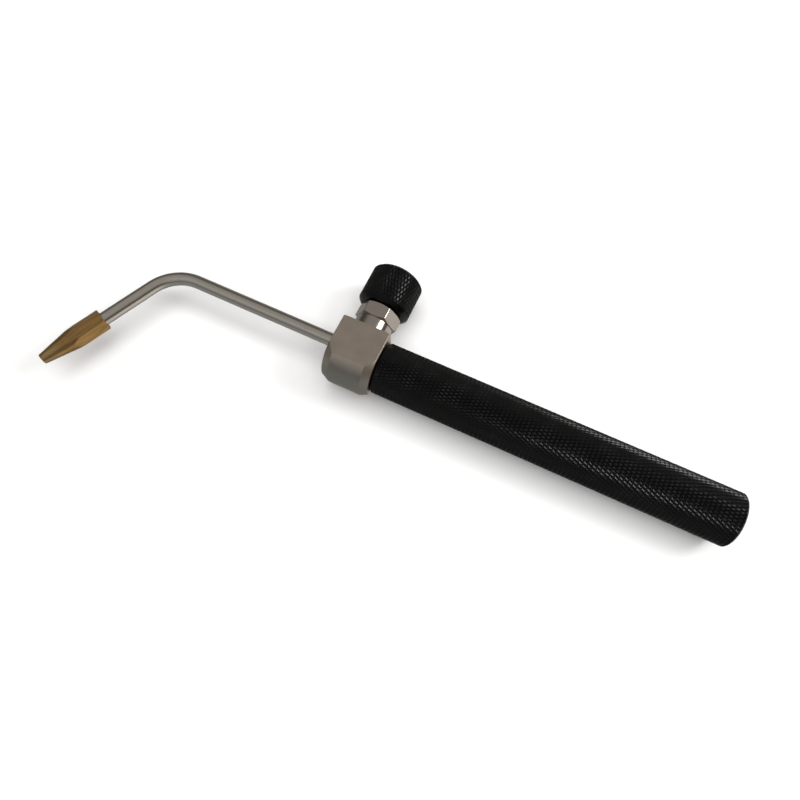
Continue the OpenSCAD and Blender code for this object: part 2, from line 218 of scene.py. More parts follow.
class Tree:
    """A node tree that is written as expressions."""

    def __init__(self, tree):
        self.tree = tree
        self.tree.nodes.clear()

    def node(self, kind, settings=None, inputs=None, output=0):
        """A node of that kind: its settings first, then the values or links of its sockets."""
        made = self.tree.nodes.new(kind)
        for name, value in (settings or {}).items():
            setattr(made, name, value)
        for name, value in (inputs or {}).items():
            if isinstance(value, Wire):
                self.tree.links.new(value.socket, made.inputs[name])
            else:
                made.inputs[name].default_value = value
        return Wire(self, made.outputs[output])

    def show(self, kind, surface):
        """The tree's output node."""
        self.tree.links.new(surface.socket, self.tree.nodes.new(kind).inputs["Surface"])

    def place(self, scale=(1, 1, 1), turn=(0, 0, 0), source="Object"):
        """Coordinates on the piece, turned and then stretched."""
        turned = self.node(
            "ShaderNodeMapping", {"vector_type": "POINT"},
            {"Vector": self.node("ShaderNodeTexCoord", output=source), "Rotation": turn})
        return self.node("ShaderNodeMapping", {}, {"Vector": turned, "Scale": scale})

    def noise(self, scale, at, detail=3.0, rough=0.5):
        """Soft noise with that many cells to a metre."""
        return self.node(
            "ShaderNodeTexNoise", {}, {"Vector": at, "Scale": scale, "Detail": detail, "Roughness": rough})

    def cells(self, scale, at):
        """Distance to the middle of rounded cells."""
        return self.node("ShaderNodeTexVoronoi", {}, {"Vector": at, "Scale": scale})

    def off_axis(self, axis, through):
        """Distance from a straight axis through a point."""
        moved = self.node(
            "ShaderNodeVectorMath", {"operation": "SUBTRACT"},
            {0: self.node("ShaderNodeTexCoord", output="Object"), 1: through})
        across = self.node(
            "ShaderNodeVectorMath", {"operation": "CROSS_PRODUCT"}, {0: moved, 1: axis})
        return self.node(
            "ShaderNodeVectorMath", {"operation": "LENGTH"}, {0: across}, output="Value")

    def along(self, axis):
        """Distance along a straight axis from the origin."""
        return self.node(
            "ShaderNodeVectorMath", {"operation": "DOT_PRODUCT"},
            {0: self.node("ShaderNodeTexCoord", output="Object"), 1: axis}, output="Value")

    def mix(self, share, first, second):
        """A colour between two colours."""
        def four(value):
            return value if isinstance(value, Wire) else (*value, 1.0)
        return self.node(
            "ShaderNodeMix", {"data_type": "RGBA"},
            {"Factor": share, 6: four(first), 7: four(second)}, output=2)

    def bump(self, height, depth):
        """A normal for a surface whose height runs from 0 to depth."""
        return self.node("ShaderNodeBump", {}, {"Height": height, "Distance": depth, "Strength": 1.0})


def finish(name, paint):
    """A material whose surface sockets come from paint(tree)."""
    material = bpy.data.materials.get(name)
    if material is None:
        material = bpy.data.materials.new(name)
        material.use_nodes = True
        tree = Tree(material.node_tree)
        sockets = paint(tree)
        if "Base Color" in sockets and not isinstance(sockets["Base Color"], Wire):
            sockets["Base Color"] = (*sockets["Base Color"], 1.0)
        tree.show("ShaderNodeOutputMaterial", tree.node("ShaderNodeBsdfPrincipled", {}, sockets))
    return material


def colours():
    """The colours that the scene's finishes use."""
    return bpy.context.scene.torch_colours


def knurled_black(name, axis, through, radius):
    """Black anodising over knurled aluminium, thinned on the crests."""
    def paint(tree):
        grain = tree.noise(9000, tree.place())
        patches = tree.noise(160, tree.place(), detail=4)
        crest = tree.off_axis(axis, through).between(radius - 0.10 * MM, radius - 0.01 * MM)
        worn = crest * patches.between(0.42, 0.75)
        dust = tree.noise(2200, tree.place(), detail=2).between(0.60, 0.80) * 0.25
        return {
            "Base Color": tree.mix(worn * 0.35 + dust * 0.20, colours().anodised, colours().anodised_worn),
            "Roughness": 0.17 + grain * 0.10,
            "Specular IOR Level": 0.25,
            "Normal": tree.bump(grain, 0.006 * MM),
        }
    return finish(name, paint)


def satin_nickel():
    """Satin plating with a fine linished grain along the handle's direction."""
    def paint(tree):
        grain = tree.noise(1.0, tree.place(scale=(900, 9000, 9000)), detail=4, rough=0.6)
        cloud = tree.noise(130, tree.place(), detail=4, rough=0.55)
        spots = tree.cells(420, tree.place()).between(0.02, 0.16)
        shade = cloud.between(0.35, 0.70) * 0.75 + (1 - spots) * 0.15
        plated = tree.mix(shade, colours().nickel, colours().nickel_shade)
        # Painted shade: the plating darkens towards the block's turned end on -Y, in place of the shaded
        # floor that this end would mirror
        painted_end_shade = (tree.along((0, -1, 0)) + cloud * 2 * MM).between(8.5 * MM, 12.5 * MM)
        return {
            "Base Color": tree.mix(painted_end_shade * 0.85, plated, colours().nickel_painted_shade),
            "Metallic": 1.0,
            "Roughness": 0.26 + grain * 0.12 + cloud * 0.06,
            "Normal": tree.bump(grain, 0.0035 * MM),
        }
    return finish("satin_nickel", paint)


def bright_nickel():
    """Bright plating over turned and milled brass."""
    def paint(tree):
        turning = tree.noise(1.0, tree.place(scale=(600, 9000, 600)), detail=3)
        cloud = tree.noise(240, tree.place(), detail=3)
        shade = cloud.between(0.4, 0.75) * 0.5
        return {
            "Base Color": tree.mix(shade, colours().bright_nickel, colours().nickel_shade),
            "Metallic": 1.0,
            "Roughness": 0.10 + turning * 0.08 + cloud * 0.05,
            "Normal": tree.bump(turning, 0.0015 * MM),
        }
    return finish("bright_nickel", paint)


def drawn_steel():
    """Polished stainless tube: its draw lines follow the tube by the piece's own UV map."""
    def paint(tree):
        lines = tree.noise(1.0, tree.place(scale=(34, 55, 1), source="UV"), detail=5, rough=0.65)
        broad = tree.noise(1.0, tree.place(scale=(7, 26, 1), source="UV"), detail=3)
        tint = tree.noise(1.0, tree.place(scale=(2.5, 42, 1), source="UV"), detail=2).between(0.50, 0.78)
        shade = lines.between(0.45, 0.75) * 0.45 + tint * 0.35
        return {
            "Base Color": tree.mix(shade, colours().steel, colours().steel_streak),
            "Metallic": 1.0,
            "Roughness": 0.15 + broad * 0.10 + lines * 0.06,
            "Normal": tree.bump(lines, 0.002 * MM),
        }
    return finish("drawn_steel", paint)


def aged_brass(turn, start, towards):
    """Heat-browned brass with streaks along the nozzle, rubbed brighter near its front."""
    def paint(tree):
        streaks = tree.noise(1.0, tree.place(scale=(110, 1500, 1500), turn=turn), detail=5, rough=0.6)
        broad = tree.noise(1.0, tree.place(scale=(60, 420, 420), turn=turn), detail=3)
        specks = tree.cells(2600, tree.place()).between(0.05, 0.30)
        reach = tree.along(towards)
        rubbed = reach.between(start + 11 * MM, start + 24 * MM) * broad.between(0.40, 0.62)
        tarnish = streaks.between(0.38, 0.66) * 0.55 + broad.between(0.42, 0.70) * 0.35 + (1 - specks) * 0.10
        aged = tree.mix(tarnish, colours().brass, colours().brass_patina)
        return {
            "Base Color": tree.mix(rubbed * 0.45, aged, colours().brass_bright),
            "Metallic": 1.0,
            "Roughness": 0.30 + streaks * 0.14 - rubbed * 0.06,
            "Normal": tree.bump(streaks, 0.006 * MM),
        }
    return finish("aged_brass", paint)


def turned_metal(name, base, axis, roughness=0.22):
    """Metal turned on a lathe, with fine tool rings across its axis."""
    def paint(tree):
        phase = tree.along(axis) * (2 * math.pi / TOOL_RING)
        rings = phase.math("SINE", phase)
        cloud = tree.noise(300, tree.place(), detail=3)
        shade = [0.62 * c for c in base]
        return {
            "Base Color": tree.mix(cloud.between(0.40, 0.75) * 0.6, base, shade),
            "Metallic": 1.0,
            "Roughness": roughness + cloud * 0.12,
            "Normal": tree.bump(rings, 0.002 * MM),
        }
    return finish(name, paint)


def sintered_bronze():
    """Small bronze grains pressed together."""
    def paint(tree):
        grains = tree.cells(2600, tree.place())
        cloud = tree.noise(700, tree.place())
        # Painted shade: the colour darkens in the sunken gaps between the grains
        gap_shade = [0.35 * c for c in colours().bronze]
        return {
            "Base Color": tree.mix(grains.between(0.25, 0.60) * 0.8, colours().bronze, gap_shade),
            "Metallic": 0.85,
            "Roughness": 0.45 + cloud * 0.2,
            "Normal": tree.bump(1 - grains, 0.12 * MM),
        }
    return finish("sintered_bronze", paint)


def moulded(name, base, roughness, scale, depth):
    """Rubber, plastic or fibre with its own fine grain."""
    def paint(tree):
        grain = tree.noise(scale, tree.place(), detail=4)
        shade = [0.6 * c for c in base]
        return {
            "Base Color": tree.mix(grain.between(0.35, 0.70) * 0.5, base, shade),
            "Roughness": roughness + grain * 0.15,
            "Normal": tree.bump(grain, depth),
        }
    return finish(name, paint)


def blackened_steel():
    """Oil-blackened screw steel."""
    def paint(tree):
        grain = tree.noise(3500, tree.place(), detail=4)
        shade = [2.2 * c for c in colours().screw]
        return {
            "Base Color": tree.mix(grain.between(0.45, 0.75), colours().screw, shade),
            "Metallic": 0.9,
            "Roughness": 0.32 + grain * 0.2,
            "Normal": tree.bump(grain, 0.004 * MM),
        }
    return finish("blackened_steel", paint)


def floor_paint():
    """Matt white table."""
    def paint(tree):
        cloud = tree.noise(6, tree.place(), detail=2)
        shade = [0.985 * c for c in colours().floor]
        return {
            "Base Color": tree.mix(cloud, colours().floor, shade),
            "Roughness": 0.9,
            "Specular IOR Level": 0.2,
        }
    return finish("floor_paint", paint)


# ---------------------------------------------------------------- shapes


def linked(name, data):
    """A new object of the scene."""
    obj = bpy.data.objects.new(name, data)
    bpy.context.scene.collection.objects.link(obj)
    return obj


def verts_of(made):
    """The vertices among what an operator made."""
    return [v for v in made if isinstance(v, bmesh.types.BMVert)]


def spun_round(bm, geometry, steps):
    """An outline spun a full turn about Z."""
    bmesh.ops.spin(
        bm, geom=geometry, cent=(0, 0, 0), axis=(0, 0, 1), angle=2 * math.pi, steps=steps, use_merge=True)


def turned(profile, segments=96, ring=False):
    """A shape turned about Z from (height, radius) points; a ring's profile closes on itself."""
    bm = bmesh.new()
    verts = [bm.verts.new((radius, 0, height)) for height, radius in profile]
    pairs = list(zip(verts, verts[1:]))
    if ring:
        pairs.append((verts[-1], verts[0]))
    edges = [bm.edges.new(pair) for pair in pairs]
    spun_round(bm, verts + edges, segments)
    bmesh.ops.remove_doubles(bm, verts=bm.verts, dist=1e-7)
    bmesh.ops.recalc_face_normals(bm, faces=bm.faces)
    return bm


def rod(radius, low, high, segments=64):
    """A round bar about Z."""
    return turned([(low, 0), (low, radius), (high, radius), (high, 0)], segments)


def placed(bm, matrix):
    """The shape moved by a matrix."""
    bmesh.ops.transform(bm, matrix=matrix, verts=bm.verts)
    return bm


def combined(bm, tool, operation):
    """The first shape less, with or inside the second. Both shapes are used up."""
    holders = []
    for shape in (bm, tool):
        mesh = bpy.data.meshes.new("shape")
        shape.to_mesh(mesh)
        shape.free()
        holders.append(linked("shape", mesh))
    body, cutter = holders
    modifier = body.modifiers.new("combine", "BOOLEAN")
    modifier.object = cutter
    modifier.operation = operation
    modifier.solver = "MANIFOLD"
    result = bpy.data.meshes.new_from_object(
        body.evaluated_get(bpy.context.evaluated_depsgraph_get()))
    out = bmesh.new()
    out.from_mesh(result)
    meshes = [result, body.data, cutter.data]
    for holder in holders:
        bpy.data.objects.remove(holder)
    for mesh in meshes:
        bpy.data.meshes.remove(mesh)
    if not out.faces:
        raise RuntimeError(f"{operation} left nothing of a shape")
    bmesh.ops.remove_doubles(out, verts=out.verts, dist=1e-6)
    bmesh.ops.dissolve_degenerate(out, edges=out.edges, dist=1e-6)
    return out


def bored(bm, cutters):
    """The shape with every cutter taken out of it."""
    for cutter in cutters:
        bm = combined(bm, cutter, "DIFFERENCE")
    return bm


def hexagon(width, low, high, edge):
    """A hexagon bar about Z with a corner on X, its long edges rounded a little."""
    bm = bmesh.new()
    made = bmesh.ops.create_circle(bm, cap_ends=True, segments=6, radius=width / math.sqrt(3))
    bmesh.ops.rotate(
        bm, cent=(0, 0, 0), matrix=Matrix.Rotation(math.radians(30), 3, "Z"), verts=made["verts"])
    bmesh.ops.translate(bm, vec=(0, 0, low), verts=bm.verts)
    raised = bmesh.ops.extrude_face_region(bm, geom=bm.faces[:])["geom"]
    bmesh.ops.translate(bm, vec=(0, 0, high - low), verts=verts_of(raised))
    bmesh.ops.recalc_face_normals(bm, faces=bm.faces)
    upright = [e for e in bm.edges if abs(e.verts[0].co.z - e.verts[1].co.z) > (high - low) / 2]
    bmesh.ops.bevel(
        bm, geom=upright, offset=edge, offset_type="OFFSET", affect="EDGES", segments=4, profile=0.5,
        material=-1)
    return bm


def sliced(bm, point, normal, fill=True):
    """The shape with everything beyond a plane cut off."""
    cut = bmesh.ops.bisect_plane(
        bm, geom=bm.verts[:] + bm.edges[:] + bm.faces[:], dist=1e-8, plane_co=point, plane_no=normal,
        clear_outer=True)["geom_cut"]
    edges = [e for e in cut if isinstance(e, bmesh.types.BMEdge)]
    if fill and edges:
        bmesh.ops.contextual_create(bm, geom=edges)
    return edges


def rounded_edges(bm, width, least=25, segments=2):
    """Every edge sharper than least degrees, bevelled round."""
    edges = [e for e in bm.edges if len(e.link_faces) == 2 and e.calc_face_angle() > math.radians(least)]
    bmesh.ops.bevel(
        bm, geom=edges, offset=width, offset_type="OFFSET", affect="EDGES", segments=segments, profile=0.5,
        material=-1, clamp_overlap=True)
    return bm


def knurled(radius, low, high, columns, rows, depth, flank):
    """Raised diamonds rolled round Z. Both ends are left open, at the depth of the grooves."""
    bm = bmesh.new()
    root = radius - depth
    verts = [bm.verts.new((root, 0, low + (high - low) * i / rows)) for i in range(rows + 1)]
    edges = [bm.edges.new(pair) for pair in zip(verts, verts[1:])]
    spun_round(bm, verts + edges, columns)
    bmesh.ops.recalc_face_normals(bm, faces=bm.faces)
    if bm.faces[0].normal.dot(bm.faces[0].calc_center_median() * Vector((1, 1, 0))) < 0:
        bmesh.ops.reverse_faces(bm, faces=bm.faces)
    grid = [e for e in bm.edges if not e.is_boundary]
    bmesh.ops.poke(bm, faces=bm.faces[:], offset=root * (1 - math.cos(math.pi / columns)))
    bmesh.ops.dissolve_edges(bm, edges=grid, use_verts=False)
    bmesh.ops.inset_individual(bm, faces=bm.faces[:], thickness=flank, depth=depth, use_even_offset=True)
    return bm


def end_loop(bm, upper):
    """The open edges at the shape's upper or lower end."""
    middle = sum(v.co.z for v in bm.verts) / len(bm.verts)
    return [e for e in bm.edges if e.is_boundary and (e.verts[0].co.z > middle) == upper]


def grown(bm, loop, profile):
    """The open loop carried on through rings at (height, radius) points; returns the last ring."""
    for height, radius in profile:
        made = bmesh.ops.extrude_edge_only(bm, edges=loop)["geom"]
        verts = verts_of(made)
        for vert in verts:
            flat = Vector((vert.co.x, vert.co.y)).normalized() * radius
            vert.co = (flat.x, flat.y, height)
        fresh = set(verts)
        loop = [e for e in made if isinstance(e, bmesh.types.BMEdge) and fresh.issuperset(e.verts)]
    return loop


def piece(name, bm, material, body="torch_body", nodes=(), least=28, weighted=False):
    """A finished object from a shape, riding on a body and standing for its CAD nodes."""
    bmesh.ops.recalc_face_normals(bm, faces=bm.faces)
    limit = math.radians(least)
    for face in bm.faces:
        face.smooth = True
    for edge in bm.edges:
        edge.smooth = len(edge.link_faces) == 2 and edge.calc_face_angle() < limit
    mesh = bpy.data.meshes.new(name)
    bm.to_mesh(mesh)
    bm.free()
    mesh.materials.append(material)
    obj = linked(name, mesh)
    if weighted:
        modifier = obj.modifiers.new("even_shading", "WEIGHTED_NORMAL")
        modifier.keep_sharp = True
    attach(obj, body)
    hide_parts(*nodes)
    return obj


def coat(node, material):
    """A CAD node keeps its shape and gets a finish."""
    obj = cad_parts[node]
    obj.data.materials.clear()
    obj.data.materials.append(material)


def screw_hole(x, y, top, bottom):
    """A cutter for a screw hole that opens downwards, through a face at the height bottom."""
    return placed(rod(SCREW_BORE, bottom - 2 * PAST, top, 32), Matrix.Translation((x, y, 0)))


# ---------------------------------------------------------------- operators


class TORCH_OT_make_handle(bpy.types.Operator):
    """Make the knurled handle sleeve"""

    bl_idname = "torch.make_handle"
    bl_label = "Handle sleeve"

    def execute(self, context):
        s = context.scene.torch_sizes
        radius = (SLEEVE_HIGH.z - SLEEVE_LOW.z) / 2
        low, high = SLEEVE_LOW.x, SLEEVE_HIGH.x
        inset = s.handle_chamfer - s.knurl_depth
        bm = knurled(
            radius, low + inset, high - inset, s.handle_columns, s.handle_rows, s.knurl_depth, s.knurl_flank)
        rim = radius - s.handle_chamfer
        bore_edge = 0.4 * MM
        ends = []
        for upper, end, inward in ((False, low, 1), (True, high, -1)):
            ends += grown(bm, end_loop(bm, upper), [
                (end + inward * 0.10 * MM, rim + 0.10 * MM),
                (end, rim - 0.06 * MM),
                (end, s.handle_bore + bore_edge),
                (end + inward * bore_edge, s.handle_bore),
            ])
        bmesh.ops.bridge_loops(bm, edges=ends)
        placed(bm, ON_HANDLE)
        bmesh.ops.recalc_face_normals(bm, faces=bm.faces)
        # Deep enough to come through the wall
        deep = 4 * MM
        screw_radius = 1.5 * MM
        holes = [
            screw_hole(x, 0, SLEEVE_LOW.z + deep, SLEEVE_LOW.z)
            for x in (SCREWS_LOW.x + screw_radius, SCREWS_HIGH.x - screw_radius)]
        bm = bored(bm, holes)
        black = knurled_black("anodised_handle", (1, 0, 0), (0, 0, AXIS_Z), radius)
        piece("knurled_sleeve", bm, black, nodes=["handle_sleeve"], least=20)
        return {"FINISHED"}


class TORCH_OT_make_knob(bpy.types.Operator):
    """Make the knurled control knob"""

    bl_idname = "torch.make_knob"
    bl_label = "Control knob"

    def execute(self, context):
        s = context.scene.torch_sizes
        radius = (KNOB_HIGH.x - KNOB_LOW.x) / 2
        low, high = KNOB_LOW.y, KNOB_HIGH.y
        inner = s.knob_inner_chamfer
        outer = s.knob_outer_chamfer
        bm = knurled(
            radius, low + inner - s.knurl_depth, high - outer + s.knurl_depth,
            s.knob_columns, s.knob_rows, s.knurl_depth, s.knurl_flank)
        bore = s.gland_bore
        dish, dish_radius = 0.35 * MM, radius * 0.66
        # The chamfers' edges are broken by this much
        soft = 0.25 * MM
        under = grown(bm, end_loop(bm, False), [
            (low + soft, radius - inner + soft),
            (low + 0.05 * MM, radius - inner - 0.02 * MM),
            (low, radius - inner - 0.2 * MM),
            (low, bore + 0.3 * MM),
            (low + 0.3 * MM, bore),
            (STEM_HIGH.y + 0.05 * MM, bore),
        ])
        top = grown(bm, end_loop(bm, True), [
            (high - soft, radius - outer + soft),
            (high - 0.05 * MM, radius - outer - 0.02 * MM),
            (high, radius - outer - 0.2 * MM),
            (high, dish_radius),
            (high - dish, dish_radius - 0.5 * MM),
            (high - dish, radius * 0.2),
            (high - dish * 1.6, radius * 0.06),
        ])
        for loop in (under, top):
            bmesh.ops.contextual_create(bm, geom=loop)
        placed(bm, ON_STEM)
        bmesh.ops.recalc_face_normals(bm, faces=bm.faces)
        y = (GRUB_LOW.y + GRUB_HIGH.y) / 2
        bm = bored(bm, [screw_hole(0, y, AXIS_Z - PAST, KNOB_LOW.z)])
        black = knurled_black("anodised_knob", (0, 1, 0), (0, 0, AXIS_Z), radius)
        piece("knurled_knob", bm, black, body="knob", nodes=["knob"], least=20)
        return {"FINISHED"}


class TORCH_OT_make_block(bpy.types.Operator):
    """Make the valve block with its turned end, its chamfers and its passages"""

    bl_idname = "torch.make_block"
    bl_label = "Valve block"

    def execute(self, context):
        s = context.scene.torch_sizes
        front, rear, top = BLOCK_LOW.x, BLOCK_HIGH.x, BLOCK_HIGH.y
        low_radius = s.round_end - s.turned_depth
        bm = placed(turned([
            (front, 0), (front, low_radius), (front + s.turned_length, s.round_end),
            (rear - s.turned_length, s.round_end), (rear, low_radius), (rear, 0)], 128), ON_HANDLE)
        sliced(bm, BLOCK_LOW, (0, 0, -1))
        sliced(bm, BLOCK_HIGH, (0, 0, 1))
        rim = sliced(bm, (0, 0, AXIS_Z), (0, 1, 0), fill=False)
        made = bmesh.ops.extrude_edge_only(bm, edges=rim)["geom"]
        verts = verts_of(made)
        bmesh.ops.translate(bm, vec=(0, top, 0), verts=verts)
        fresh = set(verts)
        bmesh.ops.contextual_create(
            bm, geom=[e for e in made if isinstance(e, bmesh.types.BMEdge) and fresh.issuperset(e.verts)])
        bmesh.ops.recalc_face_normals(bm, faces=bm.faces)
        bmesh.ops.dissolve_limit(
            bm, angle_limit=math.radians(0.4), verts=bm.verts, edges=bm.edges, use_dissolve_boundaries=False)
        for side_x, face_x in ((-1, front), (1, rear)):
            for side_z in (-1, 1):
                edge = Vector((face_x - side_x * s.flat_chamfer, 0, AXIS_Z + side_z * AXIS_Z))
                sliced(bm, edge, (side_x, 0, side_z))
        # The top face's corners are turned off about the stem's axis, in three flats a few degrees apart
        corner, middle, spread = 13.8 * MM, 49.8, 2.0
        slope = math.radians(45)
        for side_x in (-1, 1):
            for side_z in (-1, 1):
                for degrees in (middle - spread, middle, middle + spread):
                    turn = math.radians(degrees)
                    across = Vector((side_x * math.cos(turn), 0, side_z * math.sin(turn)))
                    point = Vector((0, top, AXIS_Z)) + across * corner
                    sliced(bm, point, across * math.cos(slope) + Vector((0, math.sin(slope), 0)))
        rounded_edges(bm, s.worn_edge, least=18, segments=3)
        on_tube = Matrix.Translation((0, s.neck_offset, 0)) @ ON_HANDLE
        feed = Matrix.Translation((0, -2.8 * MM, 0)) @ ON_HANDLE
        thread, chamber, seat, tube_way, gas_way = 4.5 * MM, 3.2 * MM, 2.4 * MM, 1.5 * MM, 0.8 * MM
        # Each passage has a radius, its two ends and the axis that it lies on
        bm = bored(bm, [placed(rod(radius, low, high), axis) for radius, low, high, axis in (
            (thread, 5.1 * MM, top + 2 * PAST, ON_STEM),
            (chamber, 0.2 * MM, 6 * MM, ON_STEM),
            (seat, -1.2 * MM, 1 * MM, ON_STEM),
            (gas_way, -3.6 * MM, 0, ON_STEM),
            (s.tube_radius + TUBE_FIT, front - PAST, -5.2 * MM, on_tube),
            (tube_way, -6 * MM, -1 * MM, on_tube),
            (thread, 4.6 * MM, rear + PAST, ON_HANDLE),
            (gas_way, 0, 5 * MM, feed),
        )])
        piece("plated_block", bm, satin_nickel(), nodes=["valve_block"], least=24, weighted=True)
        return {"FINISHED"}


class TORCH_OT_make_bonnet(bpy.types.Operator):
    """Make the hexagon bonnet with its collar"""

    bl_idname = "torch.make_bonnet"
    bl_label = "Bonnet"

    def execute(self, context):
        s = context.scene.torch_sizes
        foot = WASHER_HIGH.y
        hex_low = foot + s.collar_height
        top = BONNET_HIGH.y
        corner = s.hexagon_width / math.sqrt(3)
        face = s.hexagon_width * 0.49
        rise = (corner - face) * math.tan(math.radians(30))
        bar = hexagon(s.hexagon_width, hex_low, top, 0.30 * MM)
        cone = turned([
            (hex_low - 0.001 * MM, 0), (hex_low - 0.001 * MM, face), (hex_low + rise, corner + 0.01 * MM),
            (top - rise, corner + 0.01 * MM), (top, face), (top, 0)], 144)
        head = combined(bar, cone, "INTERSECT")
        rounded_edges(head, 0.07 * MM, least=20)
        spigot, thread = BONNET_LOW.y, 4.45 * MM
        neck = turned([
            (spigot, 0), (spigot, 4.2 * MM), (spigot + 0.3 * MM, thread), (foot, thread),
            (foot, s.collar_radius - 0.30 * MM), (foot + 0.10 * MM, s.collar_radius - 0.09 * MM),
            (foot + 0.30 * MM, s.collar_radius), (hex_low - 0.25 * MM, s.collar_radius),
            (hex_low - 0.06 * MM, s.collar_radius - 0.12 * MM),
            (hex_low + 1 * MM, s.collar_radius - 0.5 * MM), (hex_low + 1 * MM, 0)], 144)
        bm = combined(head, neck, "UNION")
        # The bore widens from the stem's thread to its ring here
        gland = 14 * MM
        bm = bored(bm, [
            rod(s.stem_bore, spigot - PAST, gland),
            rod(s.gland_bore, gland - 1 * MM, top + PAST),
            turned([(top - 0.3 * MM, 0), (top - 0.3 * MM, s.gland_bore - 0.02 * MM),
                    (top + 0.3 * MM, s.gland_bore + 0.58 * MM), (top + 0.3 * MM, 0)], 64),
        ])
        placed(bm, ON_STEM)
        piece("bonnet", bm, bright_nickel(), nodes=["valve_bonnet"], least=24, weighted=True)
        return {"FINISHED"}


class TORCH_OT_make_neck(bpy.types.Operator):
    """Make the bent neck tube and the fillet that brazes it to the block"""

    bl_idname = "torch.make_neck"
    bl_label = "Neck tube"

    def execute(self, context):
        s = context.scene.torch_sizes
        tangent = s.bend_radius * math.tan(s.bend_angle / 2)
        start, in_nozzle, sides = -5.25 * MM, 7.5 * MM, 48
        first = s.neck_reach - tangent
        axis_y = s.neck_offset
        centre = Vector((-first, axis_y - s.bend_radius, AXIS_Z))
        second = s.nozzle_start + in_nozzle - tangent
        bm = bmesh.new()
        loops = []
        for radius in (s.tube_radius, s.tube_radius - s.tube_wall):
            made = bmesh.ops.create_circle(bm, segments=sides, radius=radius)
            loops += [e for e in bm.edges if all(v in made["verts"] for v in e.verts)]
        bmesh.ops.bridge_loops(bm, edges=loops)
        placed(bm, Matrix.Translation((start, axis_y, 0)) @ ON_HANDLE)
        faces = bm.faces[:]
        made = bmesh.ops.extrude_face_region(bm, geom=faces)["geom"]
        bmesh.ops.translate(bm, vec=(-first - start, 0, 0), verts=verts_of(made))
        made = bmesh.ops.spin(
            bm, geom=made, cent=centre, axis=(0, 0, 1), angle=s.bend_angle, steps=40)["geom_last"]
        made = bmesh.ops.extrude_face_region(
            bm, geom=[f for f in made if isinstance(f, bmesh.types.BMFace)])["geom"]
        away = Vector((-math.cos(s.bend_angle), -math.sin(s.bend_angle), 0))
        bmesh.ops.translate(bm, vec=away * second, verts=verts_of(made))
        bmesh.ops.remove_doubles(bm, verts=bm.verts, dist=1e-7)
        # The UV map runs round the tube and along its middle line
        layer = bm.loops.layers.uv.new("UVMap")
        for face in bm.faces:
            middle = face.calc_center_median()
            for loop in face.loops:
                loop[layer].uv = self.unrolled(loop.vert.co, middle, s, first, centre, away)
        piece("bent_neck", bm, drawn_steel(), nodes=["neck_tube"], least=30)
        self.fillet(s)
        return {"FINISHED"}

    @staticmethod
    def unrolled(point, middle, s, first, centre, away):
        """Distance round and along the tube, both in centimetres."""
        def turn_of(p):
            offset = p - centre
            return min(max(math.atan2(-offset.x, offset.y), 0.0), s.bend_angle)
        turn = turn_of(point)
        on_line = centre + Vector((-math.sin(turn), math.cos(turn), 0)) * s.bend_radius
        if turn <= 0:
            run = -point.x
            on_line = Vector((point.x, s.neck_offset, AXIS_Z))
        elif turn >= s.bend_angle:
            extra = (point - on_line).dot(away)
            run = first + s.bend_radius * turn + extra
            on_line = on_line + away * extra
        else:
            run = first + s.bend_radius * turn
        side = Vector((-math.sin(turn), math.cos(turn), 0))
        offset = point - on_line
        round_angle = math.atan2(offset.dot(side), offset.z)
        centre_offset = middle - on_line
        reference = math.atan2(centre_offset.dot(side), centre_offset.z)
        if round_angle - reference > math.pi:
            round_angle -= 2 * math.pi
        elif reference - round_angle > math.pi:
            round_angle += 2 * math.pi
        return run * 100, round_angle * s.tube_radius * 100

    @staticmethod
    def fillet(s):
        """A thin ring of silver solder where the tube enters the block."""
        # Distance into the block, and height above the tube, in millimetres
        outline = (
            (-0.55, -0.02), (-0.55, 0.02), (-0.25, 0.07), (-0.10, 0.17), (-0.03, 0.38), (0.10, 0.42),
            (0.10, -0.02))
        ring = turned(
            [(BLOCK_LOW.x + deep * MM, s.tube_radius + high * MM) for deep, high in outline], 64, ring=True)
        placed(ring, Matrix.Translation((0, s.neck_offset, 0)) @ ON_HANDLE)
        piece("solder_fillet", ring, bright_nickel(), least=40)


